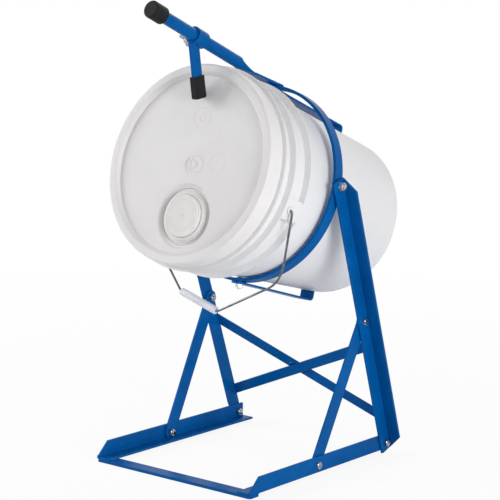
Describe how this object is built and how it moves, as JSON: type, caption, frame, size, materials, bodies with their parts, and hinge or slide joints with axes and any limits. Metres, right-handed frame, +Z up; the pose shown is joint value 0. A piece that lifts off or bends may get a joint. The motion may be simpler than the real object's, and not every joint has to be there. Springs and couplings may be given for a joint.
{
  "type": "pail tipper",
  "caption": "Floor-standing steel pail tipper: a ring cradle on two splayed angle-iron uprights holds a lidded pail and tips it by a long handle with a sliding hook clamp",
  "frame": {"origin": "on the floor, below the middle of the part's length and width", "axes": "X across the stand to the right, -Y the way the pail's lid faces, +Z up"},
  "size_m": [0.373, 0.5068, 0.7279],
  "materials": {
    "blue_paint": "gloss",
    "zinc": "plated",
    "handle_cap": "satin",
    "pail_plastic": "semi-gloss moulded",
    "rubber": "matt",
    "gasket": "matt",
    "wire": "dull",
    "cap_plastic": "semi-gloss moulded",
    "grip_plastic": "semi-gloss moulded"
  },
  "bodies": {
    "stand": {"left_rail": "blue_paint", "right_rail": "blue_paint", "front_bar": "blue_paint", "left_upright": "blue_paint", "right_upright": "blue_paint", "left_brace": "blue_paint", "right_brace": "blue_paint", "cross_bar_front": "blue_paint", "cross_bar_rear": "blue_paint", "frame_bolts": "zinc", "frame_nuts": "zinc", "pivot_bolts": "zinc", "pivot_washers": "zinc", "pivot_nuts": "zinc"},
    "cradle": {"ring": "blue_paint", "top_arm": "blue_paint", "lower_arm": "blue_paint", "handle_tube": "blue_paint", "grip_cap": "handle_cap", "ring_bolts": "zinc", "ring_nuts": "zinc", "pail_body": "pail_plastic", "pail_lid": "pail_plastic", "lid_gasket": "gasket", "spout_collar": "cap_plastic"},
    "clamp": {"clamp_collar": "blue_paint", "hook_arm": "blue_paint", "hook_tip": "rubber"},
    "wing_screw": {"wing_screw": "zinc"},
    "bail": {"bail_wire": "wire"},
    "grip": {"bail_grip": "grip_plastic"},
    "cap": {"spout_cap": "cap_plastic"}
  },
  "joints": [
    {"name": "cradle_tilt", "type": "hinge", "parent": "stand", "child": "cradle", "pos_m": [0, 0.00546, 0.45], "axis": [-1, 0, 0], "range_deg": [-38, 73]},
    {"name": "hook_slide", "type": "slide", "parent": "cradle", "child": "clamp", "axis": [0, -0.9291, 0.3698], "range_m": [0, 0.07]},
    {"name": "wing_screw_turn", "type": "hinge", "parent": "clamp", "child": "wing_screw", "pos_m": [0, -0.14226, 0.6736], "axis": [-0.9781, -0.0769, -0.1932], "continuous": true},
    {"name": "bail_swing", "type": "hinge", "parent": "cradle", "child": "bail", "pos_m": [0, -0.09312, 0.46445], "axis": [0.9613, -0.0806, -0.2636], "range_deg": [-110, 10]},
    {"name": "bail_grip_spin", "type": "hinge", "parent": "bail", "child": "grip", "pos_m": [-0.0552, -0.06755, 0.25535], "axis": [0.9613, -0.0806, -0.2636], "continuous": true},
    {"name": "spout_cap_turn", "type": "hinge", "parent": "cradle", "child": "cap", "pos_m": [0.00836, -0.17615, 0.40664], "axis": [0, -0.9563, 0.2924], "continuous": true}
  ]
}
